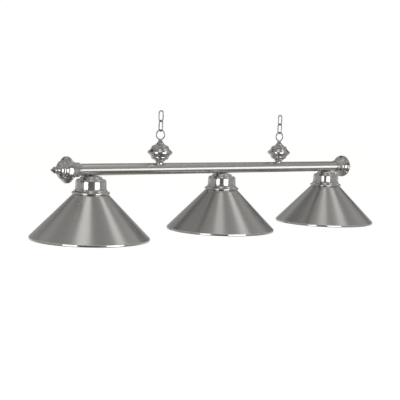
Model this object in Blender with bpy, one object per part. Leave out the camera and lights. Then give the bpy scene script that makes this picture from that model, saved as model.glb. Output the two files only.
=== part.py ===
"""A three-shade billiard lamp that hangs from two short chains.

Metres, +Z up. The bar runs along X. The origin is midway between the two top links, at the
height where their hooks would bear. Run it in Blender 4.5, from the text editor or the command line.
"""

import math

import bmesh
import bpy
from mathutils import Matrix

# Driving dimensions, in metres.
GAP = 0.0003  # between pieces that touch

ROD_Z = -0.178  # height of the bar's centre line
TUBE_RADIUS = 0.0178
TUBE_WALL = 0.0015
TUBE_HALF = 0.6020
TUBE_SIDES = 24
BUSHING_BORE = 0.0034
BUSHING_FLANGE = 0.0074

LAMP_SPACING = 0.5334
HANGER_X = 0.272
END_RIM_X = 0.6215  # plane of the end caps' widest rim

BELL_RIM = 0.0390
BELL_LENGTH = 0.0322
BELL_WALL = 0.0015
BELL_NECK = 0.0120
UPPER_NECK = 0.0095  # the hanger's top bell, where it meets the loop's stem
SLEEVE_NECK = 0.0205
SLEEVE_BORE = 0.0188
BELL_SIDES = 12

KNOB_LENGTH = 0.0215
COLLAR_RADIUS = 0.0205
COLLAR_LENGTH = 0.0095

WIRE = 0.0020  # radius of the chain and loop wire
LINK_LENGTH = 0.0380
LINK_WIDTH = 0.0210
LOOP_RADIUS = 0.0170
LOOP_DEPTH = 0.0131  # from the middle of the eye down to where its wire closes
STEM_RADIUS = 0.0057
STEM_BORE = 0.0034

NIPPLE_RADIUS = 0.0050
NIPPLE_BORE = 0.0035
HOLE_RADIUS = 0.0054
NIPPLE_SIDES = 8
NUT_RADIUS = 0.0085
NUT_HEIGHT = 0.0055

CAP_RADIUS = 0.0462
CAP_LIP = 0.0565
CAP_WALL = 0.0012
CAP_SIDES = 16
SHADE_TOP_Z = -0.0700  # below the bar's centre line
SHADE_NECK = 0.0520
SHADE_RADIUS = 0.1778
SHADE_DROP = 0.1277
SHADE_WALL = 0.0010
SHADE_BEND = 0.0015
BAND_HEIGHT = 0.0065
BAND_WALL = 0.0022
SHADE_SIDES = 28

SOCKET_RADIUS = 0.0195
SOCKET_FLANGE = 0.0245
SOCKET_BOTTOM = -0.1010
SHELL_RADIUS = 0.0146
BASE_RADIUS = 0.0131
BULB_RADIUS = 0.0300
BULB_LENGTH = 0.0800
SOCKET_SIDES = 12

SIDES = {"left": -1, "right": 1}
LAMPS = {"left": -1, "middle": 0, "right": 1}


# Materials


def material(name, colour, metallic, roughness):
    """A Principled material in one colour."""
    made = bpy.data.materials.new(name)
    made.use_nodes = True
    shader = made.node_tree.nodes["Principled BSDF"]
    shader.inputs["Base Color"].default_value = (*colour, 1.0)
    shader.inputs["Metallic"].default_value = metallic
    shader.inputs["Roughness"].default_value = roughness
    return made


def make_materials():
    """Every finish on the lamp, by name."""
    return {
        "brushed_steel": material("brushed_steel", (0.56, 0.55, 0.53), 1.0, 0.34),
        "bright_plate": material("bright_plate", (0.78, 0.77, 0.74), 1.0, 0.09),
        "plated_chain": material("plated_chain", (0.66, 0.65, 0.62), 1.0, 0.22),
        "zinc": material("zinc", (0.60, 0.60, 0.58), 1.0, 0.40),
        "porcelain": material("porcelain", (0.86, 0.85, 0.80), 0.0, 0.20),
        "brass": material("brass", (0.74, 0.57, 0.28), 1.0, 0.30),
        "black_nylon": material("black_nylon", (0.03, 0.03, 0.03), 0.0, 0.50),
        "opal_glass": material("opal_glass", (0.93, 0.93, 0.90), 0.0, 0.30),
        "bulb_aluminium": material("bulb_aluminium", (0.80, 0.80, 0.79), 1.0, 0.30),
    }


# Outlines, as (radius, height) points


def sweep(start, bend, end, steps):
    """Points along a quadratic curve that leaves start towards bend and arrives at end."""
    points = []
    for i in range(1, steps + 1):
        t = i / steps
        weights = ((1 - t) ** 2, 2 * t * (1 - t), t * t)
        points.append(tuple(sum(w * p[k] for w, p in zip(weights, (start, bend, end))) for k in (0, 1)))
    return points


def arc(centre, radius, start_deg, end_deg, steps):
    """Points along a circular arc, both ends included."""
    angles = [math.radians(start_deg + (end_deg - start_deg) * i / steps) for i in range(steps + 1)]
    return [(centre[0] + radius * math.cos(a), centre[1] + radius * math.sin(a)) for a in angles]


# Meshes


def finished(bm, name):
    """Weld a bmesh, turn its faces out and make it a smooth mesh."""
    bmesh.ops.remove_doubles(bm, verts=bm.verts, dist=0.00001)
    bmesh.ops.recalc_face_normals(bm, faces=bm.faces)
    mesh = bpy.data.meshes.new(name)
    bm.to_mesh(mesh)
    bm.free()
    mesh.shade_smooth()
    mesh.set_sharp_from_angle(angle=math.radians(40))
    return mesh


def turned(name, outline, segments, ring=True):
    """Spin an outline round Z. A ring's outline closes on itself; otherwise both ends are on the axis."""
    bm = bmesh.new()
    points = [bm.verts.new((radius, 0, height)) for radius, height in outline]
    for a, b in zip(points, points[1:]):
        bm.edges.new((a, b))
    if ring:
        bm.edges.new((points[-1], points[0]))
    bmesh.ops.spin(
        bm, geom=bm.verts[:] + bm.edges[:], cent=(0, 0, 0), axis=(0, 0, 1),
        angle=math.tau, steps=segments, use_merge=True,
    )
    return finished(bm, name)


def nut(name):
    """A hexagon nut that rests on z = 0, with room for a nipple across its bore's flats."""
    bore = NIPPLE_RADIUS / math.cos(math.pi / 6) + GAP
    return turned(name, [(bore, 0), (NUT_RADIUS, 0), (NUT_RADIUS, NUT_HEIGHT), (bore, NUT_HEIGHT)], 6)


def place(name, mesh, finish, location=(0, 0, 0), rotation=(0, 0, 0)):
    """An object on a mesh, in the scene, with its finish."""
    piece = bpy.data.objects.new(name, mesh)
    piece.location = location
    piece.rotation_euler = rotation
    if not mesh.materials:
        mesh.materials.append(finish)
    bpy.context.scene.collection.objects.link(piece)
    return piece


def cut(piece, cutter, operation="DIFFERENCE"):
    """Cut or join a piece with another, which stays in the scene as a hidden wire shape."""
    cutter.hide_render = True
    cutter.display_type = "WIRE"
    modifier = piece.modifiers.new(cutter.name, "BOOLEAN")
    modifier.object = cutter
    modifier.operation = operation
    modifier.solver = "EXACT"


# Bells: the same ribbed half-shell makes the hangers and the end caps


def bell_outline(neck, bore, extra=0.0):
    """Half of a double bell: the rim stands on z = 0 and the neck is at the top."""
    flare = (0.0368, 0.0044)
    waist = (0.0277, 0.0140)
    shoulder = (0.0235, 0.0210)
    neck_foot = (neck, 0.0300)
    outside = [(BELL_RIM, GAP / 2), (BELL_RIM, 0.0018), flare]
    outside += sweep(flare, (0.0312, 0.0080), waist, 2)
    outside += sweep(waist, (0.0272, 0.0190), shoulder, 2)
    outside += sweep(shoulder, (max(0.0150, neck + 0.0020), 0.0240), neck_foot, 2)
    inside = [(radius - BELL_WALL, height - BELL_WALL / 4) for radius, height in outside[2:-1]]
    top = [(neck, BELL_LENGTH + extra), (bore, BELL_LENGTH + extra), (bore, neck_foot[1])]
    return outside + top + inside[::-1] + [(BELL_RIM - BELL_WALL, GAP / 2)]


def make_bells(finish):
    """The hangers' two bells and the end caps' two bells, with the knob that ends the bar."""
    rod_bore = TUBE_RADIUS + GAP
    saddle = 0.0060
    seat = turned("hanger_seat", [(0, -1), (rod_bore, -1), (rod_bore, 1), (0, 1)], 48, ring=False)
    upper_bell = turned("upper_bell", bell_outline(UPPER_NECK, HOLE_RADIUS), BELL_SIDES)
    outer_bell = turned("outer_bell", bell_outline(BELL_NECK, HOLE_RADIUS), BELL_SIDES)
    foot_bell = turned("foot_bell", bell_outline(BELL_NECK, HOLE_RADIUS, saddle), BELL_SIDES)
    sleeve_bell = turned("sleeve_bell", bell_outline(SLEEVE_NECK, SLEEVE_BORE), BELL_SIDES)
    hanger_rim_z = ROD_Z + TUBE_RADIUS + GAP + BELL_LENGTH

    cutter = place("bar_envelope", seat, finish, (0, 0, ROD_Z), (0, math.pi / 2, 0))
    for side, sign in SIDES.items():
        x = sign * HANGER_X
        place(f"{side}_hanger_upper_bell", upper_bell, finish, (x, 0, hanger_rim_z))
        lower = place(f"{side}_hanger_lower_bell", foot_bell, finish, (x, 0, hanger_rim_z), (math.pi, 0, 0))
        cut(lower, cutter)
        outward = (0, sign * math.pi / 2, 0)
        inward = (0, -sign * math.pi / 2, 0)
        rim = (sign * END_RIM_X, 0, ROD_Z)
        place(f"{side}_end_outer_bell", outer_bell, finish, rim, outward)
        place(f"{side}_end_inner_bell", sleeve_bell, finish, rim, inward)


def make_knobs(finish):
    """The pointed knob screwed to each end, and the beaded collar behind each end cap."""
    base = BELL_LENGTH + GAP
    tip = BELL_LENGTH + KNOB_LENGTH
    outline = [(0, -0.0060 + base), (0.0046, -0.0060 + base), (0.0046, base), (0.0110, base)]
    outline += [(0.0110, base + 0.0016), (0.0066, base + 0.0036)]
    outline += sweep((0.0066, base + 0.0036), (0.0112, base + 0.0050), (0.0092, base + 0.0100), 2)
    outline += sweep((0.0092, base + 0.0100), (0.0060, base + 0.0136), (0.0018, tip - 0.0010), 2)
    knob = turned("end_knob", outline + [(0, tip)], BELL_SIDES, ring=False)

    half = COLLAR_LENGTH / 2
    bore = TUBE_RADIUS + GAP
    groove = COLLAR_RADIUS - 0.0010
    bead = [(bore, -half), (groove, -half), (COLLAR_RADIUS, -half + 0.0015), (COLLAR_RADIUS, -0.0008)]
    bead += [(groove, 0), (COLLAR_RADIUS + 0.0010, 0.0012), (COLLAR_RADIUS + 0.0010, half), (bore, half)]
    collar = turned("end_collar", bead, TUBE_SIDES)

    collar_x = END_RIM_X - BELL_LENGTH - GAP - half
    for side, sign in SIDES.items():
        outward = (0, sign * math.pi / 2, 0)
        place(f"{side}_end_knob", knob, finish, (sign * END_RIM_X, 0, ROD_Z), outward)
        place(f"{side}_end_collar", collar, finish, (sign * collar_x, 0, ROD_Z), outward)


# The bar


def make_bar(finish):
    """The tube, drilled below for each lamp and above for each hanger."""
    inner = TUBE_RADIUS - TUBE_WALL
    walls = [(TUBE_RADIUS, -TUBE_HALF), (TUBE_RADIUS, TUBE_HALF), (inner, TUBE_HALF), (inner, -TUBE_HALF)]
    tube = place("bar_tube", turned("bar_tube", walls, TUBE_SIDES), finish, (0, 0, ROD_Z), (0, math.pi / 2, 0))

    drill = bmesh.new()
    reach = 2 * TUBE_RADIUS
    holes = [(sign * HANGER_X, reach / 2) for sign in SIDES.values()]
    holes += [(sign * LAMP_SPACING, -reach / 2) for sign in LAMPS.values()]
    for x, z in holes:
        bmesh.ops.create_cone(
            drill, cap_ends=True, segments=BELL_SIDES, radius1=HOLE_RADIUS, radius2=HOLE_RADIUS,
            depth=reach, matrix=Matrix.Translation((x, 0, z)),
        )
    bmesh.ops.create_cone(
        drill, cap_ends=True, segments=BELL_SIDES, radius1=HOLE_RADIUS, radius2=HOLE_RADIUS,
        depth=reach, matrix=Matrix.Translation((0, reach / 2, 0)) @ Matrix.Rotation(math.pi / 2, 4, "X"),
    )
    cut(tube, place("bar_drill", finished(drill, "bar_drill"), finish, (0, 0, ROD_Z)))


def make_cord_bushing(finish):
    """The snap bushing in the back of the bar, where the mains lead goes in."""
    flange_foot = TUBE_RADIUS + GAP
    sleeve = HOLE_RADIUS - GAP - 0.0001
    inner_end = TUBE_RADIUS - TUBE_WALL - 0.0025
    outline = [(BUSHING_BORE, inner_end), (sleeve, inner_end), (sleeve, flange_foot)]
    outline += [(BUSHING_FLANGE, flange_foot), (BUSHING_FLANGE - 0.0008, flange_foot + 0.0018)]
    bushing = turned("cord_bushing", outline + [(BUSHING_BORE, flange_foot + 0.0018)], BELL_SIDES)
    place("cord_bushing", bushing, finish, (0, 0, ROD_Z), (-math.pi / 2, 0, 0))


# Hangers and chains


def stadium(length, width):
    """Centre-line points of a link that stands in the XZ plane, round at both ends."""
    radius = width / 2
    straight = length / 2 - radius
    top = arc((0, straight), radius, 0, 180, 6)
    bottom = arc((0, -straight), radius, 180, 360, 6)
    return top + bottom


def bent_wire(name, centre_line, finish):
    """A closed wire along the points of a loop in the XZ plane."""
    curve = bpy.data.curves.new(name, "CURVE")
    curve.dimensions = "3D"
    curve.render_resolution_u = 0
    curve.bevel_depth = WIRE
    curve.bevel_resolution = 1
    spline = curve.splines.new("POLY")
    spline.points.add(len(centre_line) - 1)
    for point, (x, z) in zip(spline.points, centre_line):
        point.co = (x, 0, z, 1)
    spline.use_cyclic_u = True
    curve.materials.append(finish)
    return curve


def eye_line():
    """Centre-line points of the pear-shaped eye: half a circle on top, and sides that close in to its stem."""
    top = arc((0, 0), LOOP_RADIUS, 0, 180, 8)
    side = sweep(top[0], (LOOP_RADIUS, -0.0070), (0.0040, -LOOP_DEPTH), 4)
    return top + [(-x, z) for x, z in side] + side[::-1]


def link_levels():
    """Heights of the top link's middle, the lower link's middle, and the two contacts between wires."""
    top_inside = LINK_LENGTH - 4 * WIRE
    top_middle = -top_inside / 2
    first_contact = -top_inside
    lower_top = first_contact + GAP
    lower_middle = lower_top - top_inside / 2
    second_contact = lower_top - top_inside
    return top_middle, first_contact, lower_middle, second_contact


def link_pivots():
    """Heights of the two hinge lines: the top link's lower wire and the loop's upper wire."""
    _, first_contact, _, second_contact = link_levels()
    return first_contact - WIRE, second_contact + GAP + WIRE


def pivot(name, side, height):
    """An empty on a hinge line, which carries the pieces that swing about it."""
    empty = bpy.data.objects.new(name, None)
    empty.location = (SIDES[side] * HANGER_X, 0, height)
    bpy.context.scene.collection.objects.link(empty)
    return empty


def make_chains(finish):
    """Two links above each hanger: the top one is in the bar's plane and the lower one crosses it."""
    top_middle, _, lower_middle, _ = link_levels()
    first_pivot, _ = link_pivots()
    line = stadium(LINK_LENGTH - 2 * WIRE, LINK_WIDTH - 2 * WIRE)
    link = bent_wire("chain_link", line, finish)
    for side, sign in SIDES.items():
        top = bpy.data.objects.new(f"{side}_top_link", link)
        top.location = (sign * HANGER_X, 0, top_middle)
        bpy.context.scene.collection.objects.link(top)
        lower = bpy.data.objects.new(f"{side}_lower_link", link)
        lower.parent = pivot(f"{side}_link_pivot", side, first_pivot)
        lower.location = (0, 0, lower_middle - first_pivot)
        lower.rotation_euler = (0, 0, math.pi / 2)
        bpy.context.scene.collection.objects.link(lower)


def make_hangers(plate, zinc):
    """The eye loop above each hanger, its threaded nipple and the nut inside the bar."""
    _, loop_pivot = link_pivots()
    loop_middle = loop_pivot - LOOP_RADIUS
    bells_top = ROD_Z + TUBE_RADIUS + GAP + 2 * BELL_LENGTH
    stem_foot = bells_top + GAP
    stem_top = loop_middle - LOOP_DEPTH + WIRE
    flange = (0.0088, stem_foot)
    rounding = (STEM_RADIUS, stem_top - 0.0030)
    stem = [(STEM_BORE, stem_foot), flange] + sweep(flange, (STEM_RADIUS, stem_foot + 0.0010), rounding, 3)
    stem += sweep(rounding, (STEM_RADIUS, stem_top), (0.0042, stem_top), 2)
    stem += [(STEM_BORE, stem_top)]
    stem_mesh = turned("loop_stem", stem, BELL_SIDES)

    nipple_foot = ROD_Z + 0.0075
    nipple_top = stem_foot - GAP
    nipple = [
        (NIPPLE_RADIUS, nipple_foot), (NIPPLE_RADIUS, nipple_top),
        (NIPPLE_BORE, nipple_top), (NIPPLE_BORE, nipple_foot),
    ]
    nipple_mesh = turned("hanger_nipple", nipple, NIPPLE_SIDES)
    nut_mesh = nut("hanger_nut")
    nut_z = ROD_Z + math.sqrt((TUBE_RADIUS - TUBE_WALL) ** 2 - NUT_RADIUS**2) - GAP - NUT_HEIGHT

    bent = bpy.data.objects.new("bent_eye", bent_wire("bent_eye", eye_line(), plate))
    wire_mesh = bpy.data.meshes.new_from_object(bent)
    bpy.data.objects.remove(bent)
    for side, sign in SIDES.items():
        x = sign * HANGER_X
        loop = place(f"{side}_hanger_loop", stem_mesh, plate, (x, 0, 0))
        wire = place(f"{side}_loop_wire", wire_mesh, plate, (x, 0, loop_middle))
        cut(loop, wire, "UNION")
        place(f"{side}_hanger_nipple", nipple_mesh, zinc, (x, 0, 0))
        place(f"{side}_hanger_nut", nut_mesh, zinc, (x, 0, nut_z))


# Lamps


def cap_outline():
    """The polished cap over each shade: a stepped dome, a straight wall and a beaded lip."""
    top = -TUBE_RADIUS - 2 * GAP
    dome = (0.0335, top - 0.0060)
    step = (0.0380, top - 0.0085)
    wall_top = (0.0458, top - 0.0190)
    wall_foot = (CAP_RADIUS, top - 0.0340)
    lip_top = (0.0528, top - 0.0450)
    outside = [(HOLE_RADIUS, top), (0.0200, top)]
    outside += sweep((0.0200, top), (0.0300, top - 0.0005), dome, 2)
    outside += [(dome[0] + 0.0010, step[1]), step]
    outside += sweep(step, (0.0450, top - 0.0100), wall_top, 2) + [wall_foot]
    outside += sweep(wall_foot, (0.0470, top - 0.0430), lip_top, 2)
    inside = [(radius - CAP_WALL, height - CAP_WALL / 2) for radius, height in outside[2:]]
    bead = arc((CAP_LIP - 0.0040, top - 0.0500), 0.0040, 45, -60, 3)
    lip_inner = [(CAP_LIP - 0.0026, bead[-1][1])]
    return outside + bead + lip_inner + inside[::-1] + [(0.0200, top - CAP_WALL), (HOLE_RADIUS, top - CAP_WALL)]


def shade_outline():
    """The spun shade: a flat top with a hole for the socket, and a straight cone."""
    bore = SOCKET_RADIUS + GAP
    foot = SHADE_TOP_Z - SHADE_BEND - SHADE_DROP
    slope = SHADE_WALL * math.sqrt(2)
    outside = [(bore, SHADE_TOP_Z), (SHADE_NECK - SHADE_BEND, SHADE_TOP_Z), (SHADE_NECK, SHADE_TOP_Z - SHADE_BEND)]
    inside = [(SHADE_NECK - slope, SHADE_TOP_Z - SHADE_WALL - 0.0010), (bore, SHADE_TOP_Z - SHADE_WALL)]
    return outside + [(SHADE_RADIUS, foot), (SHADE_RADIUS - slope, foot)] + inside


def band_outline():
    """The polished band crimped round the shade's lower edge."""
    top = SHADE_TOP_Z - SHADE_BEND - SHADE_DROP - GAP
    inner = SHADE_RADIUS - BAND_WALL
    foot = top - BAND_HEIGHT
    return [(SHADE_RADIUS, top), (SHADE_RADIUS, foot), (inner, foot), (inner, top)]


def socket_outline():
    """The porcelain socket: a domed top, the flange that bears on the shade, and a skirt."""
    top = -0.0500
    bore = SHELL_RADIUS + GAP
    bore_top = -0.0670
    flange_top = SHADE_TOP_Z + 0.0040
    flange_foot = SHADE_TOP_Z + GAP
    outside = [(NIPPLE_RADIUS + GAP, top), (0.0130, top)]
    outside += sweep((0.0130, top), (SOCKET_RADIUS, top - 0.0010), (SOCKET_RADIUS, flange_top), 2)
    outside += [(SOCKET_FLANGE, flange_top), (SOCKET_FLANGE, flange_foot), (SOCKET_RADIUS, flange_foot)]
    outside += [(SOCKET_RADIUS, SOCKET_BOTTOM), (bore, SOCKET_BOTTOM), (bore, bore_top)]
    return outside + [(NIPPLE_RADIUS + GAP, bore_top)]


def ring_outline():
    """The threaded ring that holds the shade up against the socket's flange."""
    top = SHADE_TOP_Z - SHADE_WALL - GAP
    bore = SOCKET_RADIUS + GAP
    flange = 0.0262
    foot = top - 0.0070
    return [(bore, top), (flange, top), (flange, top - 0.0022), (0.0232, foot), (bore, foot)]


def shell_outline():
    """The brass screw shell that lines the socket."""
    wall = 0.0006
    hole = 0.0065
    top = -0.0675
    foot = SOCKET_BOTTOM + 0.0020
    outer = [(hole, top), (SHELL_RADIUS, top), (SHELL_RADIUS, foot)]
    return outer + [(SHELL_RADIUS - wall, foot), (SHELL_RADIUS - wall, top - wall), (hole, top - wall)]


def base_outline():
    """The bulb's screw base, a cup with its contact on top."""
    top = -0.0710
    foot = top - 0.0265
    wall = 0.0006
    outer = [(0, top + 0.0015), (0.0045, top + 0.0015), (0.0060, top), (0.0100, top - 0.0020)]
    outer += [(BASE_RADIUS, top - 0.0045), (BASE_RADIUS, foot)]
    inner = [(BASE_RADIUS - wall, foot), (BASE_RADIUS - wall, top - 0.0050), (0, top - 0.0020)]
    return outer + inner


def glass_outline():
    """The opal bulb, a thin shell open at its neck."""
    wall = 0.0010
    neck_z = -0.0978
    foot = neck_z - BULB_LENGTH
    middle = foot + BULB_RADIUS
    neck = (0.0135, neck_z)
    cheek = arc((0, middle), BULB_RADIUS, 20, -90, 4)
    outside = [neck, (0.0140, neck_z - 0.0060)]
    outside += sweep((0.0140, neck_z - 0.0060), (0.0200, neck_z - 0.0300), cheek[0], 2)[:-1] + cheek
    inside = [(max(radius - wall, 0), height + wall * (radius < 0.02)) for radius, height in outside[1:]]
    return inside[::-1] + [(neck[0] - wall, neck_z)] + outside[:-1] + [(0, foot)]


def make_lamps(finish):
    """Three lamps under the bar, each with its cap, shade, socket and bulb."""
    meshes = {
        "cap": (turned("lamp_cap", cap_outline(), CAP_SIDES), "bright_plate"),
        "shade": (turned("lamp_shade", shade_outline(), SHADE_SIDES), "brushed_steel"),
        "rim_band": (turned("lamp_rim_band", band_outline(), SHADE_SIDES), "bright_plate"),
        "socket": (turned("lamp_socket", socket_outline(), SOCKET_SIDES), "porcelain"),
        "shade_ring": (turned("lamp_shade_ring", ring_outline(), SOCKET_SIDES), "porcelain"),
        "screw_shell": (turned("lamp_screw_shell", shell_outline(), SOCKET_SIDES), "brass"),
        "bulb_base": (turned("lamp_bulb_base", base_outline(), SOCKET_SIDES, ring=False), "bulb_aluminium"),
        "bulb_glass": (turned("lamp_bulb_glass", glass_outline(), SOCKET_SIDES, ring=False), "opal_glass"),
        "nipple": (turned("lamp_nipple", lamp_nipple_outline(), NIPPLE_SIDES), "zinc"),
        "upper_nut": (nut("lamp_upper_nut"), "zinc"),
        "lock_nut": (nut("lamp_lock_nut"), "zinc"),
    }
    inside_floor = math.sqrt((TUBE_RADIUS - TUBE_WALL) ** 2 - NUT_RADIUS**2)
    lifts = {
        "upper_nut": -inside_floor + GAP,
        "lock_nut": -TUBE_RADIUS - 3 * GAP - CAP_WALL - NUT_HEIGHT,
    }
    for lamp, step in LAMPS.items():
        for piece, (mesh, slot) in meshes.items():
            where = (step * LAMP_SPACING, 0, ROD_Z + lifts.get(piece, 0))
            place(f"{lamp}_lamp_{piece}", mesh, finish[slot], where)


def lamp_nipple_outline():
    """The threaded nipple from inside the bar down into the socket."""
    top = -0.0070
    foot = -0.0640
    return [(NIPPLE_RADIUS, foot), (NIPPLE_RADIUS, top), (NIPPLE_BORE, top), (NIPPLE_BORE, foot)]


def clear_scene():
    for old in list(bpy.data.objects):
        bpy.data.objects.remove(old, do_unlink=True)


clear_scene()
FINISH = make_materials()
make_bar(FINISH["brushed_steel"])
make_cord_bushing(FINISH["black_nylon"])
make_bells(FINISH["bright_plate"])
make_knobs(FINISH["bright_plate"])
make_chains(FINISH["plated_chain"])
make_hangers(FINISH["bright_plate"], FINISH["zinc"])
make_lamps(FINISH)
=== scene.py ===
import math

import bmesh
import bpy
from mathutils import Matrix, Vector


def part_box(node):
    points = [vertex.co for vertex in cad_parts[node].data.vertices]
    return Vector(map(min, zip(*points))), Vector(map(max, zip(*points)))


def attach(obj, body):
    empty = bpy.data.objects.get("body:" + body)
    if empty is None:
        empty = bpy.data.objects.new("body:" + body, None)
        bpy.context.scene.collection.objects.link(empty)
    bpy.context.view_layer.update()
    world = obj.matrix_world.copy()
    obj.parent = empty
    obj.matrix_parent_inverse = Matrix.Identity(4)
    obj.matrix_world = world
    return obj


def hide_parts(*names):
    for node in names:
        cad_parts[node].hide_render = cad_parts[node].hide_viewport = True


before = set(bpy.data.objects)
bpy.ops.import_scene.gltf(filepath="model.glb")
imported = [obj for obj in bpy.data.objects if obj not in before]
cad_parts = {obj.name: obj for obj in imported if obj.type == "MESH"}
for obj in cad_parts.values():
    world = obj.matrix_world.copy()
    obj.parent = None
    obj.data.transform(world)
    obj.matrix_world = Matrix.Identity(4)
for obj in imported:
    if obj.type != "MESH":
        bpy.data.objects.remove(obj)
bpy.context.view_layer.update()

# The studio. The camera stands at eye level off the lamp's front left corner, with a softbox on either side.
# Panels hang far overhead and high up behind on the right. Black cards behind put dark stripes in the metal.
# The room is grey where the metal looks at it and white behind the lamp, and has a pale floor.


class Level:
    """A socket's value. Arithmetic on it adds Math nodes to the tree that it is in."""

    def __init__(self, socket):
        self.socket = socket
        self.tree = socket.id_data

    def node(self, kind, settings, sockets, output=0):
        """Add a node: its settings come first, then the values or the links of its sockets."""
        made = self.tree.nodes.new(kind)
        for name, value in settings.items():
            setattr(made, name, value)
        for name, value in sockets.items():
            if isinstance(value, Level):
                self.tree.links.new(value.socket, made.inputs[name])
            else:
                made.inputs[name].default_value = value
        return Level(made.outputs[output])

    def math(self, operation, *values):
        return self.node("ShaderNodeMath", {"operation": operation}, dict(enumerate(values)))

    def __add__(self, other):
        return self.math("ADD", self, other)

    def __sub__(self, other):
        return self.math("SUBTRACT", self, other)

    def __rsub__(self, other):
        return self.math("SUBTRACT", other, self)

    def __mul__(self, other):
        return self.math("MULTIPLY", self, other)

    __radd__ = __add__
    __rmul__ = __mul__

    def ramp(self, start, end, low=0.0, high=1.0):
        """Go smoothly from low to high as this value goes from start to end."""
        span = {"Value": self, "From Min": start, "From Max": end, "To Min": low, "To Max": high}
        return self.node("ShaderNodeMapRange", {"interpolation_type": "SMOOTHSTEP"}, span)

    def blend(self, first, second):
        """A colour between two others, with this value as the share of the second."""
        return self.node("ShaderNodeMix", {"data_type": "RGBA"}, {0: self, 6: first, 7: second}, 2)

    def part(self, output):
        """Another output of the node that this value comes from."""
        return Level(self.socket.node.outputs[output])

    def into(self, shader, name):
        self.tree.links.new(self.socket, shader.inputs[name])


BAR_Z = (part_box("bar_tube")[0].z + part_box("bar_tube")[1].z) / 2
BEARING = math.radians(-42.851)  # which way the camera looks, round from +Y
TILT = math.radians(84.998)  # up from straight down
ROLL = math.radians(2.033)

camera = bpy.data.objects.new("camera", bpy.data.cameras.new("camera"))
camera.data.sensor_width = 36.0
camera.data.lens = 85.97
camera.matrix_world = (
    Matrix.Translation((-2.1992, -2.2681, -0.0114))
    @ Matrix.Rotation(BEARING, 4, "Z")
    @ Matrix.Rotation(TILT, 4, "X")
    @ Matrix.Rotation(ROLL, 4, "Z")
)
bpy.context.scene.collection.objects.link(camera)
bpy.context.scene.camera = camera
bpy.context.scene.view_settings.view_transform = "Standard"


def room():
    """Grey walls, darker behind the camera and brighter behind the lamp. The camera itself sees white."""
    world = bpy.data.worlds.new("room")
    world.use_nodes = True
    tree = world.node_tree
    here = Level(tree.nodes.new("ShaderNodeTexCoord").outputs["Generated"])
    turned_to_camera = here.node("ShaderNodeMapping", {}, {"Vector": here, "Rotation": (0, 0, -BEARING)})
    across = here.node("ShaderNodeSeparateXYZ", {}, {"Vector": turned_to_camera})
    away = across.part("Y")
    height = across.part("Z")
    wall = 0.38 - height.ramp(0.0, 0.29, 0.0, 0.10) + height.ramp(0.29, 0.50, 0.0, 0.16)
    ceiling = height.ramp(0.62, 0.78, 0.0, 0.14)
    floor = height.ramp(-0.63, -0.35, 0.26, 0.0)
    behind = away.ramp(0.15, 0.75) * height.ramp(-0.45, 0.30, 0.42, 0.0)
    light = (wall - ceiling - floor + behind) * away.ramp(-0.95, -0.72, 0.40, 1.0)
    warm = height.ramp(-0.4, 0.1).blend((1.0, 0.96, 0.90, 1), (1.0, 0.995, 0.985, 1))
    glow = here.node("ShaderNodeBackground", {}, {"Color": warm, "Strength": light})
    white = here.node("ShaderNodeBackground", {}, {"Color": (1, 1, 1, 1), "Strength": 1.02})
    seen = here.node("ShaderNodeLightPath", {}, {}).part("Is Camera Ray")
    both = here.node("ShaderNodeMixShader", {}, {0: seen, 1: glow, 2: white})
    both.into(tree.nodes["World Output"], "Surface")
    bpy.context.scene.world = world


def hung(centre, aim, along):
    """Face a thing at the lamp. All three are (right of the bar's middle, towards the camera, above it)."""
    to_room = Matrix.Rotation(BEARING, 3, "Z") @ Matrix.Diagonal((1, -1, 1))
    back = (to_room @ Vector(centre) - to_room @ Vector(aim)).normalized()
    side = (to_room @ Vector(along)).cross(back).normalized()
    turn = Matrix((side, back.cross(side), back)).transposed()
    return Matrix.Translation(to_room @ Vector(centre) + Vector((0, 0, BAR_Z))) @ turn.to_4x4()


def panel(name, centre, size, radiance, aim=(0, 0, 0), along=(0, 0, 1)):
    """A flat light."""
    light = bpy.data.lights.new(name, "AREA")
    light.shape = "RECTANGLE"
    light.size, light.size_y = size
    light.energy = radiance * math.pi * size[0] * size[1]
    holder = bpy.data.objects.new(name, light)
    holder.visible_camera = False
    holder.matrix_world = hung(centre, aim, along)
    bpy.context.scene.collection.objects.link(holder)
    return holder


def flag(light, thing, state):
    """Keep a light to one piece only, or keep it off that piece."""
    group = bpy.data.collections.new(f"{light.name}_{state.lower()}")
    group.objects.link(thing)
    group.collection_objects[0].light_linking.link_state = state
    light.light_linking.receiver_collection = group


def sheet(name, size, place, finish):
    """A flat sheet of the set."""
    bm = bmesh.new()
    bmesh.ops.create_grid(bm, x_segments=1, y_segments=1, size=0.5)
    bm.transform(place @ Matrix.Diagonal((*size, 1, 1)))
    mesh = bpy.data.meshes.new(name)
    bm.to_mesh(mesh)
    bm.free()
    mesh.materials.append(finish)
    made = bpy.data.objects.new(name, mesh)
    bpy.context.scene.collection.objects.link(made)
    return made


def paint(name, colour, glow):
    """A matt paint with some light of its own. Returns it with its shader."""
    made = bpy.data.materials.new(name)
    made.use_nodes = True
    shader = made.node_tree.nodes["Principled BSDF"]
    shader.inputs["Base Color"].default_value = colour
    shader.inputs["Roughness"].default_value = 0.9
    shader.inputs["Specular IOR Level"].default_value = 0.0
    shader.inputs["Emission Color"].default_value = (1, 1, 1, 1)
    shader.inputs["Emission Strength"].default_value = glow
    return made, shader


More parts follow.
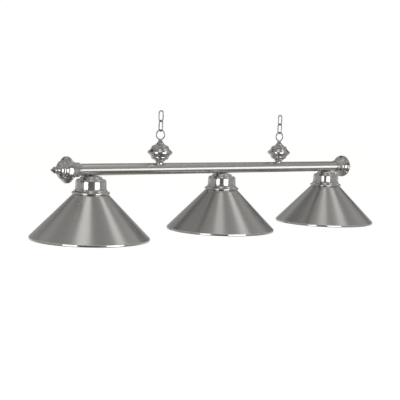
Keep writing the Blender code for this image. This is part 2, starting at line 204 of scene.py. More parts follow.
def pale_floor():
    """A white floor that the metal doesn't see. It is clear when it is looked up through."""
    white, shader = paint("floor_paint", (0.92, 0.92, 0.91, 1), 0.69)
    facing = Level(white.node_tree.nodes.new("ShaderNodeNewGeometry").outputs["Backfacing"])
    clear = facing.node("ShaderNodeBsdfTransparent", {}, {})
    shown = Level(shader.outputs[0])
    both = facing.node("ShaderNodeMixShader", {}, {0: facing, 1: shown, 2: clear})
    both.into(white.node_tree.nodes["Material Output"], "Surface")
    width = 80
    drop = 1.30  # from the bar down
    floor = sheet("floor", (width, width), Matrix.Translation((0, 0, BAR_Z - drop)), white)
    floor.visible_glossy = False


def black_card(name, centre, size):
    """A black card that puts a dark stripe in whatever mirrors it."""
    place = hung(centre, (0, 0, centre[2]), (0, 0, 1))
    card = sheet(name, size, place, paint(name + "_paint", (0.02, 0.02, 0.02, 1), 0.0)[0])
    card.visible_camera = False


room()
pale_floor()
black_card("tall_card", (-2.50, -2.40, 3.65), (1.25, 4.3))
black_card("low_card", (-0.85, -0.62, -0.36), (0.12, 0.5))
black_card("right_card", (1.56, -2.85, 1.35), (1.10, 1.6))
SOFTBOXES = [
    panel("right_softbox", (0.80, 1.18, -0.13), (0.92, 0.78), 2.5, (0, 0, -0.13)),
    panel("left_softbox", (-1.80, 2.95, -0.32), (1.40, 1.85), 2.5, (0, 0, -0.32)),
]
TOP_PANEL = panel("top_panel", (-0.25, 0.60, 12.0), (2.6, 8.0), 0.62, along=(0, 1, 0))
panel("back_panel", (2.04, -0.73, 4.0), (0.95, 2.7), 0.80, along=(0.52, 0.86, 0))

# The bar. It is one length of steel tube, polished round and round on a lathe, which leaves hair lines
# about it and draws every reflection out along it. It is drilled for the lamps, the hangers and the lead.

TUBE_RADIUS = (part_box("bar_tube")[1].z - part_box("bar_tube")[0].z) / 2
TUBE_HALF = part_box("bar_tube")[1].x
TUBE_WALL = 0.0015
HOLE_RADIUS = 0.0054
ALONG_BAR = Matrix.Translation((0, 0, BAR_Z)) @ Matrix.Rotation(math.pi / 2, 4, "Y")

SIDES = {"left": -1, "right": 1}
LAMPS = {"left": -1, "middle": 0, "right": 1}


def middle_of(node):
    low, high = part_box(node)
    return (low + high) / 2


def finished(bm, name, place=Matrix.Identity(4), crease=35):
    """Weld a bmesh, turn its faces out, put it in its place and make it a smooth mesh."""
    bmesh.ops.remove_doubles(bm, verts=bm.verts, dist=0.000005)
    bm.transform(place)
    bmesh.ops.recalc_face_normals(bm, faces=bm.faces)
    mesh = bpy.data.meshes.new(name)
    bm.to_mesh(mesh)
    bm.free()
    mesh.shade_smooth()
    mesh.set_sharp_from_angle(angle=math.radians(crease))
    return mesh


def turned(name, outline, steps=72, ring=True, place=Matrix.Identity(4), crease=35):
    """Spin (radius, height) points round Z. A ring closes on itself; otherwise both ends are on the axis."""
    bm = bmesh.new()
    points = [bm.verts.new((radius, 0, height)) for radius, height in outline]
    pairs = list(zip(points, points[1:]))
    if ring:
        pairs.append((points[-1], points[0]))
    for pair in pairs:
        bm.edges.new(pair)
    bmesh.ops.spin(
        bm, geom=bm.verts[:] + bm.edges[:], cent=(0, 0, 0), axis=(0, 0, 1),
        angle=math.tau, steps=steps, use_merge=True,
    )
    return finished(bm, name, place, crease)


def worked(mesh, tool, operation="DIFFERENCE"):
    """Cut one mesh with another, join the two, or keep only what they share."""
    pair = [bpy.data.objects.new("work", mesh), bpy.data.objects.new("tool", tool)]
    for thing in pair:
        bpy.context.scene.collection.objects.link(thing)
    modifier = pair[0].modifiers.new("work", "BOOLEAN")
    modifier.object = pair[1]
    modifier.operation = operation
    modifier.solver = "EXACT"
    bpy.context.view_layer.update()
    result = bpy.data.meshes.new_from_object(pair[0].evaluated_get(bpy.context.evaluated_depsgraph_get()))
    for thing in pair:
        bpy.data.objects.remove(thing)
    result.shade_smooth()
    result.set_sharp_from_angle(angle=math.radians(35))
    return result


def piece(node, mesh, finish, body="fixture"):
    """A finished piece that stands for a CAD node of the same name."""
    made = bpy.data.objects.new(node + "_finished", mesh)
    mesh.materials.clear()
    mesh.materials.append(finish)
    bpy.context.scene.collection.objects.link(made)
    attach(made, body)
    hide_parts(node)
    return made


def surface(name, fixed):
    """A finish with its constant sockets set, bare metal unless they say otherwise.

    Returns it with its shader and the place on the piece.
    """
    made = bpy.data.materials.new(name)
    made.use_nodes = True
    shader = made.node_tree.nodes["Principled BSDF"]
    for socket, value in {"Metallic": 1.0, **fixed}.items():
        shader.inputs[socket].default_value = value
    place = Level(made.node_tree.nodes.new("ShaderNodeTexCoord").outputs["Object"])
    return made, shader, place


def noise(place, scale, detail=4.0, stretch=(1, 1, 1), roughness=0.55):
    """Cloudy noise from 0 to 1, drawn out by stretching the place it is read at."""
    at = place.node("ShaderNodeMapping", {}, {"Vector": place, "Scale": stretch})
    settings = {"Vector": at, "Scale": scale, "Detail": detail, "Roughness": roughness}
    return place.node("ShaderNodeTexNoise", {}, settings)


def lathe_steel():
    """Satin steel with hair lines round the bar: the lines change along X only."""
    made, shader, place = surface("lathe_steel", {"Anisotropic": 0.85})
    lines = noise(place, 400, 2, (1, 0.02, 0.02))
    bands = noise(place, 26, 2, (1, 0.05, 0.05))
    smears = noise(place, 9, 5)
    rough = 0.235 + lines * 0.02 + bands * 0.02 + smears.ramp(0.5, 0.75) * 0.02
    rough.into(shader, "Roughness")
    tone = (lines * 0.35 + bands * 0.65).blend((0.60, 0.59, 0.575, 1), (0.70, 0.69, 0.67, 1))
    tone.into(shader, "Base Color")
    relief = {"Strength": 0.02, "Distance": 0.00001, "Height": lines}
    place.node("ShaderNodeBump", {}, relief).into(shader, "Normal")
    return made


LATHE_STEEL = lathe_steel()


def make_bar():
    inner = TUBE_RADIUS - TUBE_WALL
    edge = 0.0003
    walls = [(TUBE_RADIUS, -TUBE_HALF + edge), (TUBE_RADIUS, TUBE_HALF - edge)]
    walls += [(TUBE_RADIUS - edge, TUBE_HALF), (inner, TUBE_HALF)]
    walls += [(inner, -TUBE_HALF), (TUBE_RADIUS - edge, -TUBE_HALF)]
    tube = turned("bar", walls, 96, place=ALONG_BAR)
    drill = bmesh.new()
    reach = 2 * TUBE_RADIUS
    tops = [(middle_of(f"{side}_hanger_nipple").x, 0, reach / 2) for side in SIDES]
    feet = [(middle_of(f"{lamp}_lamp_nipple").x, 0, -reach / 2) for lamp in LAMPS]
    places = [Matrix.Translation(spot) for spot in tops + feet]
    places.append(Matrix.Translation((0, reach / 2, 0)) @ Matrix.Rotation(math.pi / 2, 4, "X"))
    for where in places:
        bmesh.ops.create_cone(
            drill, cap_ends=True, segments=32, radius1=HOLE_RADIUS, radius2=HOLE_RADIUS,
            depth=reach, matrix=Matrix.Translation((0, 0, BAR_Z)) @ where,
        )
    tube = worked(tube, finished(drill, "drill"))
    tube.use_auto_texspace = False
    tube.texspace_location = (0, 50, 0)  # so far off that the shader's tangent runs along the bar
    tube.texspace_size = (1000, 1, 1)
    return piece("bar_tube", tube, LATHE_STEEL)


def light_bar(bar):
    """The bar gets one long highlight from a strip of its own, on the right, and none from the softboxes."""
    strip = panel("bar_strip", (3.0, 0.2, -0.26), (1.40, 6.0), 1.25, (0, 0.2, -0.26), (0, 1, 0))
    flag(strip, bar, "INCLUDE")
    for softbox in SOFTBOXES:
        flag(softbox, bar, "EXCLUDE")


light_bar(make_bar())

# The snap bushing. A black nylon ring pressed into the back of the bar keeps the mains lead off the
# drilled edge. Its sleeve is split into four fingers behind a rounded flange.

GAP = 0.0003  # between pieces that touch


def sweep(start, bend, end, steps=8):
    """Points along a quadratic curve that leaves start towards bend and arrives at end."""
    points = []
    for i in range(1, steps + 1):
        t = i / steps
        weights = ((1 - t) ** 2, 2 * t * (1 - t), t * t)
        points.append(tuple(sum(w * p[k] for w, p in zip(weights, (start, bend, end))) for k in (0, 1)))
    return points


def black_nylon():
    made, shader, place = surface("black_nylon", {"Metallic": 0.0, "Base Color": (0.022, 0.022, 0.023, 1)})
    grain = noise(place, 2600, 2)
    (0.42 + grain * 0.16).into(shader, "Roughness")
    relief = {"Strength": 0.15, "Distance": 0.00005, "Height": grain}
    place.node("ShaderNodeBump", {}, relief).into(shader, "Normal")
    return made


def make_bushing():
    bore = 0.0034
    flange = 0.0074
    sleeve = HOLE_RADIUS - GAP - 0.0001
    foot = TUBE_RADIUS + GAP
    inner_end = TUBE_RADIUS - TUBE_WALL - 0.0025
    outline = [(bore + 0.0002, inner_end), (sleeve - 0.0003, inner_end), (sleeve, inner_end + 0.0008)]
    outline += [(sleeve, foot), (flange, foot), (flange, foot + 0.0008)]
    outline += sweep((flange, foot + 0.0008), (flange, foot + 0.0018), (flange - 0.0016, foot + 0.0018), 6)
    outline += sweep((bore + 0.0010, foot + 0.0018), (bore, foot + 0.0018), (bore, foot + 0.0008), 6)
    into_back = Matrix.Translation((0, 0, BAR_Z)) @ Matrix.Rotation(-math.pi / 2, 4, "X")
    ring = turned("bushing", outline, 48, place=into_back)
    slot = (0.0200, 0.0007, 0.0044)
    slots = bmesh.new()
    for turn in (0, math.pi / 2):
        where = into_back @ Matrix.Translation((0, 0, inner_end)) @ Matrix.Rotation(turn, 4, "Z")
        bmesh.ops.create_cube(slots, size=1.0, matrix=where @ Matrix.Diagonal((*slot, 1)))
        ring = worked(ring, finished(slots.copy(), "slots"))
        bmesh.ops.delete(slots, geom=slots.verts, context="VERTS")
    slots.free()
    piece("cord_bushing", ring, black_nylon())


make_bushing()

# The end caps. Two pressed bells meet rim to rim over each end of the bar, a beaded collar closes them on
# the tube, and a turned knob with a point screws them together. All of it is nickel plated.

BELL_LENGTH = 0.0322
BELL_WALL = 0.0015
BELL_NECK = 0.0120
END_RIM_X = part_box("right_end_outer_bell")[0].x - GAP / 2


def bright_plate():
    """Polished nickel, faintly uneven from the press, with soft handling marks."""
    made, shader, place = surface("bright_plate", {})
    marks = noise(place, 75, 6)
    hairs = noise(place, 420, 3, (1, 1, 0.15))
    (0.09 + marks.ramp(0.45, 0.8) * 0.05 + hairs * 0.02).into(shader, "Roughness")
    marks.ramp(0.35, 0.7).blend((0.66, 0.655, 0.64, 1), (0.73, 0.72, 0.70, 1)).into(shader, "Base Color")
    relief = {"Strength": 0.5, "Distance": 0.00006, "Height": noise(place, 60, 2)}
    place.node("ShaderNodeBump", {}, relief).into(shader, "Normal")
    return made


BRIGHT_PLATE = bright_plate()


def bell_outline(rim, neck, bore, foot=0.0):
    """Half of a double bell, from its rim on z = 0 over a flare, a waist and a shoulder up to its neck."""
    outside = [(rim - 0.0003, GAP / 2), (rim, GAP / 2 + 0.0003), (rim, 0.0016)]
    outside += sweep((rim, 0.0016), (rim, 0.0024), (rim - 0.0010, 0.0031), 4)
    outside += sweep((rim - 0.0010, 0.0031), (0.0352, 0.0056), (0.0325, 0.0080), 5)
    outside += [(0.0320, 0.0082), (0.0317, 0.0088)]
    outside += sweep((0.0317, 0.0088), (0.0296, 0.0104), (0.0283, 0.0126), 5)
    outside += [(0.0279, 0.0128), (0.0277, 0.0134)]
    outside += sweep((0.0277, 0.0134), (0.0276, 0.0190), (0.0238, 0.0206), 9)
    outside += [(0.0235, 0.0207), (0.0232, 0.0212)]
    outside += sweep((0.0232, 0.0212), (max(0.0150, neck + 0.0020), 0.0240), (neck + 0.0003, 0.0300), 9)
    inside = [(radius - BELL_WALL, height - BELL_WALL / 4) for radius, height in outside[9:-1:3]]
    shelf = 0.0300
    top = [(neck, BELL_LENGTH + foot), (bore, BELL_LENGTH + foot), (bore, shelf)]
    return outside + top + inside[::-1] + [(rim - BELL_WALL, GAP / 2)]


def arc(centre, radius, start_deg, end_deg, steps=8):
    """Points along a circular arc, both ends included."""
    angles = [math.radians(start_deg + (end_deg - start_deg) * i / steps) for i in range(steps + 1)]
    return [(centre[0] + radius * math.cos(a), centre[1] + radius * math.sin(a)) for a in angles]


def end_place(sign, x):
    return Matrix.Translation((sign * x, 0, BAR_Z)) @ Matrix.Rotation(sign * math.pi / 2, 4, "Y")


def make_end_caps():
    rim = (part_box("left_end_outer_bell")[1].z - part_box("left_end_outer_bell")[0].z) / 2
    sleeve_neck = 0.0205
    sleeve_bore = 0.0188
    base = BELL_LENGTH + GAP
    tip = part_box("right_end_knob")[1].x - END_RIM_X
    knob = [(0, base - 0.0060), (0.0046, base - 0.0060), (0.0046, base)]
    knob += [(0.0106, base), (0.0110, base + 0.0004)]
    knob += sweep((0.0110, base + 0.0010), (0.0108, base + 0.0028), (0.0070, base + 0.0032), 5)
    knob += [(0.0066, base + 0.0038)]
    knob += sweep((0.0066, base + 0.0038), (0.0112, base + 0.0052), (0.0094, base + 0.0096), 8)
    knob += [(0.0090, base + 0.0099), (0.0085, base + 0.0104)]
    knob += sweep((0.0085, base + 0.0104), (0.0055, base + 0.0134), (0.0016, tip - 0.0006), 8) + [(0, tip)]

    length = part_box("right_end_collar")[1].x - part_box("right_end_collar")[0].x
    bore = TUBE_RADIUS + GAP
    high = 0.0212
    collar = [(bore, -length / 2)]
    collar += arc((high - 0.0020, -length / 2 + 0.0021), 0.0020, -90, 80, 8)
    collar += arc((high - 0.0014, 0.0001), 0.0008, -60, 60, 6)
    collar += arc((high - 0.0016, length / 2 - 0.0021), 0.0019, -80, 80, 8)
    collar += [(bore + 0.0006, length / 2), (bore, length / 2 - 0.0004)]

    for side, sign in SIDES.items():
        outward = end_place(sign, END_RIM_X)
        inward = outward @ Matrix.Rotation(math.pi, 4, "X")
        collar_x = abs(middle_of(f"{side}_end_collar").x)
        shapes = {
            "outer_bell": turned("outer_bell", bell_outline(rim, BELL_NECK, HOLE_RADIUS), place=outward),
            "inner_bell": turned("inner_bell", bell_outline(rim, sleeve_neck, sleeve_bore), place=inward),
            "knob": turned("knob", knob, 48, ring=False, place=outward),
            "collar": turned("collar", collar, place=end_place(sign, collar_x)),
        }
        for name, mesh in shapes.items():
            piece(f"{side}_end_{name}", mesh, BRIGHT_PLATE)


make_end_caps()

# The hangers. The same double bell stands on the bar at two places. A threaded nipple and a nut inside the
# bar pull down an eye of bent wire whose two legs are closed into a short stem. The lead's wires pass inside.

WIRE = 0.0020
NIPPLE_RADIUS = 0.0050
NIPPLE_BORE = 0.0035
NUT_RADIUS = 0.0085
NUT_HEIGHT = 0.0055


def zinc_plate():
    """Dull zinc with a fine crystal bloom."""
    made, shader, place = surface("zinc_plate", {})
    bloom = noise(place, 900, 4)
    (0.34 + bloom * 0.16).into(shader, "Roughness")
    bloom.blend((0.50, 0.50, 0.49, 1), (0.66, 0.66, 0.64, 1)).into(shader, "Base Color")
    return made


ZINC = zinc_plate()


def chain_plate():
    """Plated wire, drawn and a little dull."""
    made, shader, place = surface("chain_plate", {})
    scores = noise(place, 700, 3, (1, 1, 0.2))
    (0.30 + scores * 0.08).into(shader, "Roughness")
    scores.blend((0.44, 0.43, 0.415, 1), (0.54, 0.53, 0.515, 1)).into(shader, "Base Color")
    return made


CHAIN_PLATE = chain_plate()


def thread(radius, foot, top, pitch=0.0009):
    """Points up the outside of a threaded pipe, as ridges and grooves one pitch apart."""
    turns = int((top - foot) / pitch)
    ridges = []
    for i in range(turns):
        height = foot + (i + 0.5) * pitch
        ridges += [(radius - 0.0004, height - pitch * 0.4), (radius, height)]
    return [(radius - 0.0004, foot)] + ridges + [(radius - 0.0004, top)]


def nipple(node):
    """The lamp trade's threaded pipe, cut to length."""
    low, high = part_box(node)
    middle = middle_of(node)
    outline = thread(NIPPLE_RADIUS, low.z, high.z) + [(NIPPLE_BORE, high.z), (NIPPLE_BORE, low.z)]
    mesh = turned(node, outline, 32, place=Matrix.Translation((middle.x, middle.y, 0)), crease=80)
    piece(node, mesh, ZINC)


def hexagon_nut(node):
    """A hexagon with its corners turned off at both faces."""
    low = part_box(node)[0]
    middle = middle_of(node)
    bore = NIPPLE_RADIUS + GAP
    bm = bmesh.new()
    bmesh.ops.create_circle(bm, cap_ends=False, segments=6, radius=NUT_RADIUS)
    bmesh.ops.create_circle(bm, cap_ends=False, segments=30, radius=bore)
    bmesh.ops.bridge_loops(bm, edges=bm.edges[:])
    bmesh.ops.triangulate(bm, faces=bm.faces)
    raised = bmesh.ops.extrude_face_region(bm, geom=bm.faces[:])["geom"]
    lifted = [v for v in raised if isinstance(v, bmesh.types.BMVert)]
    bmesh.ops.translate(bm, verts=lifted, vec=(0, 0, NUT_HEIGHT))
    corner = Matrix.Translation((middle.x, middle.y, low.z))
    mesh = finished(bm, node, corner)
    face = NUT_RADIUS - 0.0008
    past = NUT_RADIUS + 0.0001
    chamfer = [(0, -0.001), (face, -0.001), (face, 0), (past, 0.0006), (past, NUT_HEIGHT - 0.0006)]
    chamfer += [(face, NUT_HEIGHT), (face, NUT_HEIGHT + 0.001), (0, NUT_HEIGHT + 0.001)]
    mesh = worked(mesh, turned("chamfer", chamfer, 48, ring=False, place=corner), "INTERSECT")
    piece(node, mesh, ZINC)


def bent_wire(name, line, place):
    """A round wire that closes on itself along points in the XZ plane."""
    curve = bpy.data.curves.new(name, "CURVE")
    curve.dimensions = "3D"
    curve.bevel_depth = WIRE
    curve.bevel_resolution = 5
    spline = curve.splines.new("POLY")
    spline.points.add(len(line) - 1)
    for point, (x, z) in zip(spline.points, line):
        point.co = (x, 0, z, 1)
    spline.use_cyclic_u = True
    holder = bpy.data.objects.new(name, curve)
    mesh = bpy.data.meshes.new_from_object(holder)
    bpy.data.objects.remove(holder)
    bm = bmesh.new()
    bm.from_mesh(mesh)
    return finished(bm, name, place)


def make_hangers():
    rim = (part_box("left_hanger_upper_bell")[1].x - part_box("left_hanger_upper_bell")[0].x) / 2
    saddle = 0.0060  # how far the lower bell's foot reaches down the bar's sides
    stem_neck = 0.0095
    eye_depth = 0.0131
    eye_radius = (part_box("left_hanger_loop")[1].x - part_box("left_hanger_loop")[0].x) / 2 - WIRE
    seat = [(0, -1), (TUBE_RADIUS + GAP, -1), (TUBE_RADIUS + GAP, 1), (0, 1)]
    for side in SIDES:
        spot = middle_of(f"{side}_hanger_nipple")
        rim_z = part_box(f"{side}_hanger_upper_bell")[0].z - GAP / 2
        upright = Matrix.Translation((spot.x, 0, rim_z))
        upper = turned("upper_bell", bell_outline(rim, stem_neck, HOLE_RADIUS), place=upright)
        piece(f"{side}_hanger_upper_bell", upper, BRIGHT_PLATE)
        upside_down = upright @ Matrix.Rotation(math.pi, 4, "X")
        lower = turned("lower_bell", bell_outline(rim, BELL_NECK, HOLE_RADIUS, saddle), place=upside_down)
        lower = worked(lower, turned("seat", seat, 96, ring=False, place=ALONG_BAR))
        piece(f"{side}_hanger_lower_bell", lower, BRIGHT_PLATE)

        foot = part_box(f"{side}_hanger_loop")[0].z
        eye_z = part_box(f"{side}_hanger_loop")[1].z - WIRE - eye_radius
        top = arc((0, 0), eye_radius, 0, 180, 24)
        leg = sweep(top[0], (eye_radius, -0.0070), (0.0040, -eye_depth), 14)
        line = top + [(-x, z) for x, z in leg] + leg[::-1]
        eye = bent_wire("eye", line, Matrix.Translation((spot.x, 0, eye_z)))
        stem_top = eye_z - eye_depth + WIRE
        waist = (0.0057, stem_top - 0.0030)
        stem = [(NIPPLE_BORE, foot), (0.0084, foot), (0.0088, foot + 0.0004), (0.0086, foot + 0.0010)]
        stem += sweep((0.0086, foot + 0.0010), (0.0058, foot + 0.0016), waist, 6)
        stem += sweep(waist, (0.0057, stem_top), (0.0045, stem_top), 6) + [(NIPPLE_BORE, stem_top)]
        stem_mesh = turned("stem", stem, 48, place=Matrix.Translation((spot.x, 0, 0)))
        piece(f"{side}_hanger_loop", worked(stem_mesh, eye, "UNION"), CHAIN_PLATE)
        nipple(f"{side}_hanger_nipple")
        hexagon_nut(f"{side}_hanger_nut")


make_hangers()

# The chains. Two links of plated wire stand above each hanger. Each link is bent round and butt welded on
# one straight side. The top links hang from hooks or from more chain, and the lower ones swing in them.


def chain_link(node, body, crossing):
    """A link with round ends. A crossing link stands across the bar."""
    low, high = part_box(node)
    width = (high.y - low.y if crossing else high.x - low.x) / 2 - WIRE
    reach = (high.z - low.z) / 2 - WIRE - width
    line = arc((0, reach), width, 0, 180, 16) + arc((0, -reach), width, 180, 360, 16)
    turn = Matrix.Rotation(math.pi / 2 if crossing else 0, 4, "Z")
    mesh = bent_wire(node, line, Matrix.Translation(middle_of(node)) @ turn)
    weld = bmesh.new()
    bmesh.ops.create_uvsphere(weld, u_segments=24, v_segments=12, radius=WIRE * 1.12)
    at_weld = Matrix.Translation(middle_of(node)) @ turn @ Matrix.Translation((width, 0, 0))
    swelling = finished(weld, "weld", at_weld @ Matrix.Diagonal((1, 1, 0.6, 1)))
    piece(node, worked(mesh, swelling, "UNION"), CHAIN_PLATE, body)


for side in SIDES:
    chain_link(f"{side}_top_link", "ceiling_links", False)
    chain_link(f"{side}_lower_link", f"{side}_link", True)

# The lamp caps. Each is pressed and spun from thin sheet: a low dome with a step, a straight wall, and a
# flare that ends in a rolled bead. It hides the socket and bears up against the bar. Nickel plated.

CAP_WALL = 0.0012


def cap_outline(top, foot):
    """The cap from its hole, over the outside and back up the inside."""
    bead = 0.0040
    lip = 0.0565
    crown = (0.0190, top)
    step = (0.0337, top - 0.0078)
    outside = [(HOLE_RADIUS, top), crown]
    outside += sweep(crown, (0.0300, top - 0.0004), (0.0335, top - 0.0060)) + [step]
    outside += sweep(step, (0.0338, top - 0.0085), (0.0348, top - 0.0086), 3) + [(0.0378, top - 0.0088)]
    outside += sweep((0.0378, top - 0.0088), (0.0446, top - 0.0096), (0.0455, top - 0.0170), 10)
    outside += sweep((0.0455, top - 0.0170), (0.0459, top - 0.0260), (0.0459, top - 0.0345), 8)
    outside += [(0.0463, top - 0.0348), (0.0464, top - 0.0356)]
    outside += sweep((0.0464, top - 0.0356), (0.0468, top - 0.0425), (0.0520, top - 0.0452), 10)
    outside += [(0.0524, top - 0.0455)]
    inside = [(radius - CAP_WALL, height - CAP_WALL / 2) for radius, height in outside[3::3]]
    rolled = arc((lip - bead, foot + bead * 0.92), bead, 62, -67, 14)
    seat = [(crown[0], top - CAP_WALL), (HOLE_RADIUS, top - CAP_WALL)]
    return outside + rolled + [(lip - 0.0026, foot + 0.0006)] + inside[::-1] + seat


for lamp in LAMPS:
    low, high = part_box(f"{lamp}_lamp_cap")
    axis = Matrix.Translation((middle_of(f"{lamp}_lamp_cap").x, 0, 0))
    cap = turned("cap", cap_outline(high.z, low.z), 128, place=axis, crease=50)
    piece(f"{lamp}_lamp_cap", cap, BRIGHT_PLATE)

# The shades. Each cone is spun from 1 mm steel and brushed round and round, so that light streaks straight
# down it. The inside is sprayed with satin white enamel. The edge is finished by a polished band.

SHADE_WALL = 0.0010
SHADE_BEND = 0.0015


def brushed_steel(lamp):
    """Steel brushed round the shade: hair lines change with the slope, and streaks run down it."""
    centre = middle_of(f"{lamp}_lamp_shade")
    settings = {"Anisotropic": 0.80, "Anisotropic Rotation": 0.25}
    made, shader, place = surface(f"brushed_steel_{lamp}", settings)
    seat = {"Vector": place, "Location": (-centre.x, 0, 0)}
    centred = place.node("ShaderNodeMapping", {}, seat)
    axes = place.node("ShaderNodeSeparateXYZ", {}, {"Vector": centred})
    out = axes.math("SQRT", axes * axes + axes.part("Y") * axes.part("Y"))
    rings = place.node("ShaderNodeCombineXYZ", {}, {"X": out, "Y": axes.part("Z"), "Z": 0.0})
    hairs = noise(rings, 1500, 3)
    belts = noise(rings, 70, 3)
    clouds = noise(centred, 11, 5)
    (0.27 + hairs * 0.04 + belts * 0.03 + clouds.ramp(0.45, 0.8) * 0.02).into(shader, "Roughness")
    tone = (hairs * 0.4 + belts * 0.4 + clouds * 0.2).blend((0.56, 0.55, 0.53, 1), (0.68, 0.67, 0.65, 1))
    tone.into(shader, "Base Color")
    relief = {"Strength": 0.05, "Distance": 0.00001, "Height": hairs}
    place.node("ShaderNodeBump", {}, relief).into(shader, "Normal")
    return made


def white_enamel():
    """Satin white spray enamel with a slight orange peel."""
    made, shader, place = surface("white_enamel", {"Metallic": 0.0, "Coat Weight": 0.15})
    peel = noise(place, 480, 2)
    (0.36 + peel * 0.08).into(shader, "Roughness")
    noise(place, 14, 4).blend((0.84, 0.835, 0.81, 1), (0.88, 0.875, 0.855, 1)).into(shader, "Base Color")
    relief = {"Strength": 0.12, "Distance": 0.0002, "Height": peel}
    place.node("ShaderNodeBump", {}, relief).into(shader, "Normal")
    return made


ENAMEL = white_enamel()


def make_shade(lamp):
    low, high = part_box(f"{lamp}_lamp_shade")
    foot, top = low.z, high.z
    rim = (high.x - low.x) / 2
    neck = 0.0520
    bore = 0.0198
    slope = SHADE_WALL * math.sqrt(2)
    shoulder = (neck - SHADE_BEND, top)
    outline = [(bore, top), shoulder] + sweep(shoulder, (neck - 0.0004, top), (neck, top - SHADE_BEND), 5)
    steps = 16
    fall = top - SHADE_BEND - foot
    shares = [i / steps for i in range(1, steps + 1)]
    outline += [(neck + (rim - neck) * share, top - SHADE_BEND - fall * share) for share in shares]
    outline += [(rim - slope, foot), (neck - slope, top - SHADE_WALL - 0.0010), (bore, top - SHADE_WALL)]
    axis = Matrix.Translation((middle_of(f"{lamp}_lamp_shade").x, 0, 0))
    mesh = turned("shade", outline, 160, place=axis)
    shade = piece(f"{lamp}_lamp_shade", mesh, brushed_steel(lamp))
    mesh.materials.append(ENAMEL)
    for face in mesh.polygons:
        if face.normal.z < -0.2:
            face.material_index = 1
    return shade


def make_band(lamp):
    """The polished band round the rim, rolled at its lower edge."""
    low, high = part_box(f"{lamp}_lamp_rim_band")
    foot, top = low.z, high.z
    rim = (high.x - low.x) / 2
    inner = rim - 0.0022
    middle = (foot + top) / 2
    outline = [(inner, top - 0.0004), (inner + 0.0004, top), (rim - 0.0012, top)]
    outline += sweep((rim - 0.0012, top), (rim, top - 0.0002), (rim, middle), 7)
    outline += sweep((rim, middle), (rim, foot + 0.0004), (rim - 0.0011, foot), 7)
    outline += [(inner + 0.0004, foot), (inner, foot + (middle - foot) * 0.2)]
    axis = Matrix.Translation((middle_of(f"{lamp}_lamp_rim_band").x, 0, 0))
    piece(f"{lamp}_lamp_rim_band", turned("band", outline, 160, place=axis), BRIGHT_PLATE)


def light_left_shade(shade):
    """The left shade has its own overhead panel, farther left and wider than the others' one."""
    wide = panel("left_top_panel", (-1.8, 0.60, 12.0), (3.4, 8.0), 0.92, along=(0, 1, 0))
    flag(wide, shade, "INCLUDE")
    flag(TOP_PANEL, shade, "EXCLUDE")


shades = {lamp: make_shade(lamp) for lamp in LAMPS}
light_left_shade(shades["left"])
for lamp in LAMPS:
    make_band(lamp)

# The sockets. A white porcelain body hangs on a threaded nipple, which two nuts hold to the bar. Its flange
# bears on the shade's flat top, a porcelain ring screws up under the shade, and a brass screw shell lines it.


def porcelain():
    """White glaze over a slightly wavy body, with a few dark specks."""
    made, shader, place = surface("porcelain", {"Metallic": 0.0, "Coat Weight": 0.5, "Coat Roughness": 0.05})
    body = noise(place, 60, 3)
    specks = noise(place, 900, 1).ramp(0.76, 0.80)
    glaze = body.blend((0.82, 0.81, 0.77, 1), (0.88, 0.87, 0.84, 1))
    specks.blend(glaze, (0.35, 0.30, 0.25, 1)).into(shader, "Base Color")
    (0.16 + body * 0.08).into(shader, "Roughness")
    relief = {"Strength": 0.10, "Distance": 0.0003, "Height": body}
    place.node("ShaderNodeBump", {}, relief).into(shader, "Normal")
    return made


def brass():
    """Drawn brass, a little tarnished."""
    made, shader, place = surface("brass", {})
    tarnish = noise(place, 130, 5)
    tarnish.ramp(0.4, 0.75).blend((0.76, 0.58, 0.29, 1), (0.52, 0.37, 0.17, 1)).into(shader, "Base Color")
    (0.22 + tarnish * 0.18).into(shader, "Roughness")
    return made


PORCELAIN = porcelain()
BRASS = brass()


def wave(radius, foot, top, pitch=0.0036, depth=0.0008):
    """Points up a rolled screw thread, whose crests reach the radius."""
    count = int((top - foot) / pitch * 6)
    heights = [foot + (top - foot) * i / count for i in range(count + 1)]
    swing = math.tau / pitch
    mean = radius - depth / 2
    return [(mean + depth / 2 * math.cos((height - foot) * swing), height) for height in heights]


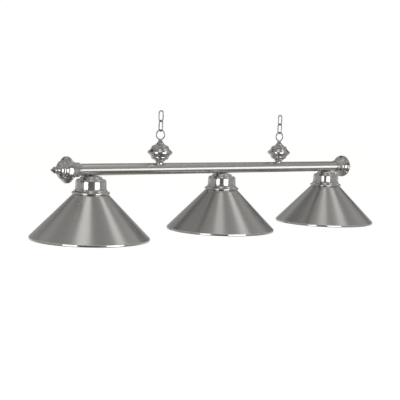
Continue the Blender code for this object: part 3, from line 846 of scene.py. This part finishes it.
def make_socket(lamp):
    low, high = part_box(f"{lamp}_lamp_socket")
    foot, top = low.z, high.z
    axis = Matrix.Translation((middle_of(f"{lamp}_lamp_socket").x, 0, 0))
    body = 0.0195
    flange = (high.x - low.x) / 2
    bore = 0.0149
    pipe = NIPPLE_RADIUS + GAP
    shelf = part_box(f"{lamp}_lamp_shade")[1].z
    chamber = BAR_Z - 0.0670
    outline = [(pipe, top), (0.0130, top)]
    outline += sweep((0.0130, top), (body, top - 0.0010), (body, shelf + 0.0040))
    outline += [(flange - 0.0005, shelf + 0.0040), (flange, shelf + 0.0034), (flange, shelf + GAP + 0.0004)]
    outline += [(flange - 0.0005, shelf + GAP), (body, shelf + GAP)]
    outline += thread(body, foot + 0.0012, shelf - 0.0012, 0.0024)[::-1]
    outline += [(body - 0.0008, foot), (bore, foot), (bore, chamber), (pipe, chamber)]
    piece(f"{lamp}_lamp_socket", turned("socket", outline, 64, place=axis), PORCELAIN)

    ring_low, ring_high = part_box(f"{lamp}_lamp_shade_ring")
    grip = (ring_high.x - ring_low.x) / 2
    inner = body + GAP
    ring = [(inner, ring_high.z), (grip - 0.0004, ring_high.z), (grip, ring_high.z - 0.0004)]
    ring += [(grip, ring_high.z - 0.0022), (0.0236, ring_low.z + 0.0008)]
    ring += [(0.0230, ring_low.z), (inner, ring_low.z)]
    ring_mesh = turned("shade_ring", ring, 72, place=axis)
    piece(f"{lamp}_lamp_shade_ring", ring_mesh, PORCELAIN)

    shell_low, shell_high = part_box(f"{lamp}_lamp_screw_shell")
    shell = (shell_high.x - shell_low.x) / 2
    wall = 0.0004
    hole = 0.0065
    rolls = wave(shell, shell_low.z + 0.0006, shell_high.z - 0.0025)
    skirt = shell - 0.0004
    outline = [(hole, shell_high.z), (shell - 0.0012, shell_high.z), (skirt, shell_high.z - 0.0010)]
    outline += rolls[::-1] + [(skirt, shell_low.z), (skirt - wall, shell_low.z)]
    outline += [(radius - wall, height) for radius, height in rolls]
    outline += [(shell - 0.0014, shell_high.z - wall), (hole, shell_high.z - wall)]
    shell_mesh = turned("screw_shell", outline, 64, place=axis, crease=60)
    piece(f"{lamp}_lamp_screw_shell", shell_mesh, BRASS)
    nipple(f"{lamp}_lamp_nipple")
    hexagon_nut(f"{lamp}_lamp_upper_nut")
    hexagon_nut(f"{lamp}_lamp_lock_nut")


for lamp in LAMPS:
    make_socket(lamp)

# The bulbs. An opal glass bulb is cemented into an aluminium screw base with a solder contact on top.
# The lamp is off, so the glass is plain white.


def opal_glass():
    """Frosted white glass: a soft white body under a gloss that is slightly uneven."""
    made, shader, place = surface("opal_glass", {"Metallic": 0.0, "Coat Weight": 0.3, "Coat Roughness": 0.12})
    milk = noise(place, 45, 3)
    milk.blend((0.90, 0.90, 0.87, 1), (0.95, 0.95, 0.93, 1)).into(shader, "Base Color")
    (0.26 + milk * 0.08).into(shader, "Roughness")
    return made


def bulb_aluminium():
    made, shader, place = surface("bulb_aluminium", {})
    scores = noise(place, 600, 3, (0.2, 0.2, 1))
    scores.blend((0.72, 0.72, 0.71, 1), (0.84, 0.84, 0.83, 1)).into(shader, "Base Color")
    (0.24 + scores * 0.14).into(shader, "Roughness")
    return made


OPAL = opal_glass()
ALUMINIUM = bulb_aluminium()


def make_bulb(lamp):
    low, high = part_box(f"{lamp}_lamp_bulb_glass")
    axis = Matrix.Translation((middle_of(f"{lamp}_lamp_bulb_glass").x, 0, 0))
    radius = 0.0300
    wall = 0.0010
    neck_z = high.z
    centre = low.z + radius
    neck = (0.0135, neck_z)
    throat = (0.0140, neck_z - 0.0060)
    cheek = arc((0, centre), radius, 20, -90, 22)
    outside = [throat] + sweep(throat, (0.0200, neck_z - 0.0300), cheek[0], 14)[:-1] + cheek[:-1]
    inside = [(r - wall, h) for r, h in outside[:-1]]
    outline = [(0, low.z + wall)] + inside[::-1] + [(neck[0] - wall, neck_z), neck] + outside + [(0, low.z)]
    glass = turned("bulb_glass", outline, 72, ring=False, place=axis, crease=60)
    piece(f"{lamp}_lamp_bulb_glass", glass, OPAL)

    base_low, base_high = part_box(f"{lamp}_lamp_bulb_base")
    base = (base_high.x - base_low.x) / 2
    skin = 0.0005
    top = base_high.z - 0.0015
    rolls = wave(base, base_low.z + 0.0030, top - 0.0070)
    outer = [(0, base_high.z), (0.0030, base_high.z), (0.0045, base_high.z - 0.0006), (0.0060, top)]
    outer += [(0.0100, top - 0.0020), (base - 0.0008, top - 0.0050)] + rolls[::-1]
    outer += [(base - 0.0002, base_low.z + 0.0020), (base - 0.0002, base_low.z)]
    inner = [(base - 0.0002 - skin, base_low.z)] + [(r - skin, h) for r, h in rolls]
    inner += [(base - 0.0018, top - 0.0056), (0, top - 0.0030)]
    mesh = turned("bulb_base", outer + inner, 64, ring=False, place=axis, crease=60)
    piece(f"{lamp}_lamp_bulb_base", mesh, ALUMINIUM)


for lamp in LAMPS:
    make_bulb(lamp)
